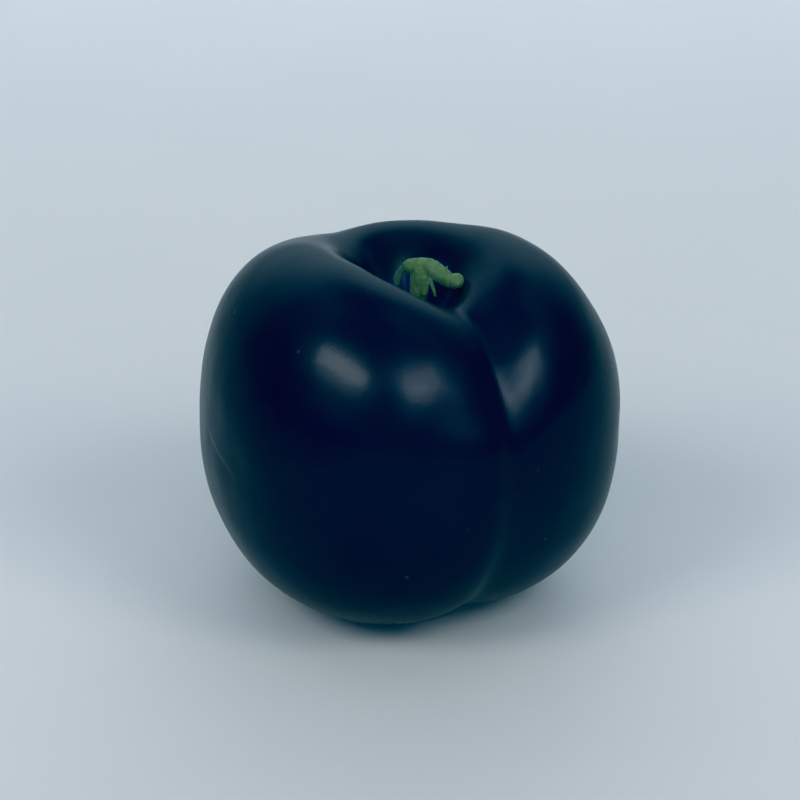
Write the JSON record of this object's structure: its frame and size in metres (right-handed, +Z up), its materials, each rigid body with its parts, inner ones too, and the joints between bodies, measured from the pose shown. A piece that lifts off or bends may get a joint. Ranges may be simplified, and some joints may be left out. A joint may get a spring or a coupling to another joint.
{
  "type": "plum",
  "caption": "Dark round plum with a suture furrow, a deep stem cavity and a short green stem stub; rests on a small flat spot.",
  "frame": {"origin": "on the surface the plum rests on, under the middle of its outline", "axes": "+Z up from the flat spot towards the stem; +X to the right and -Y to the front, with the suture furrow on the front right"},
  "size_m": [0.0596, 0.059, 0.0531],
  "materials": {
    "skin": "dark blue-black plum skin, satin gloss with a thin bloom",
    "stem": "dull green woody stalk, paler at its broken edges"
  },
  "bodies": {
    "root": {"fruit": "skin", "stem": "stem"}
  },
  "joints": []
}
